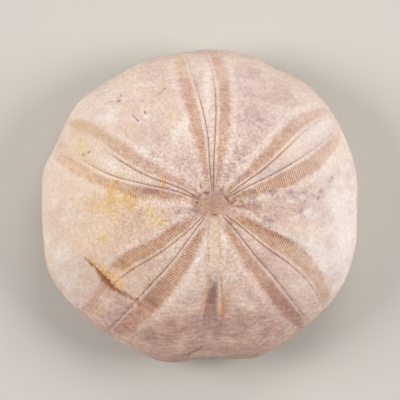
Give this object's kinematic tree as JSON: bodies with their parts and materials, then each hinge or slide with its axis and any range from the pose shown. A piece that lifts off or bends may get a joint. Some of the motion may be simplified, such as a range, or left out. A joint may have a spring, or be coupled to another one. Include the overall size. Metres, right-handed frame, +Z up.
{
  "type": "fossil sea urchin",
  "caption": "Large, low, petalled fossil sea urchin in cream-pink limestone, with a rear groove, a cracked margin and a flat rest under it.",
  "frame": {"origin": "bottom centre of the fossil's bounding box, on the surface that it lies on", "axes": "+Z up through the apex side, +Y to the animal's front petal, -Y to the groove behind the apex, +X to its right as seen from above"},
  "size_m": [0.09, 0.0892, 0.034],
  "materials": {
    "limestone": "matt, worn, iron-stained"
  },
  "bodies": {
    "root": {"fossil_sea_urchin": "limestone"}
  },
  "joints": []
}
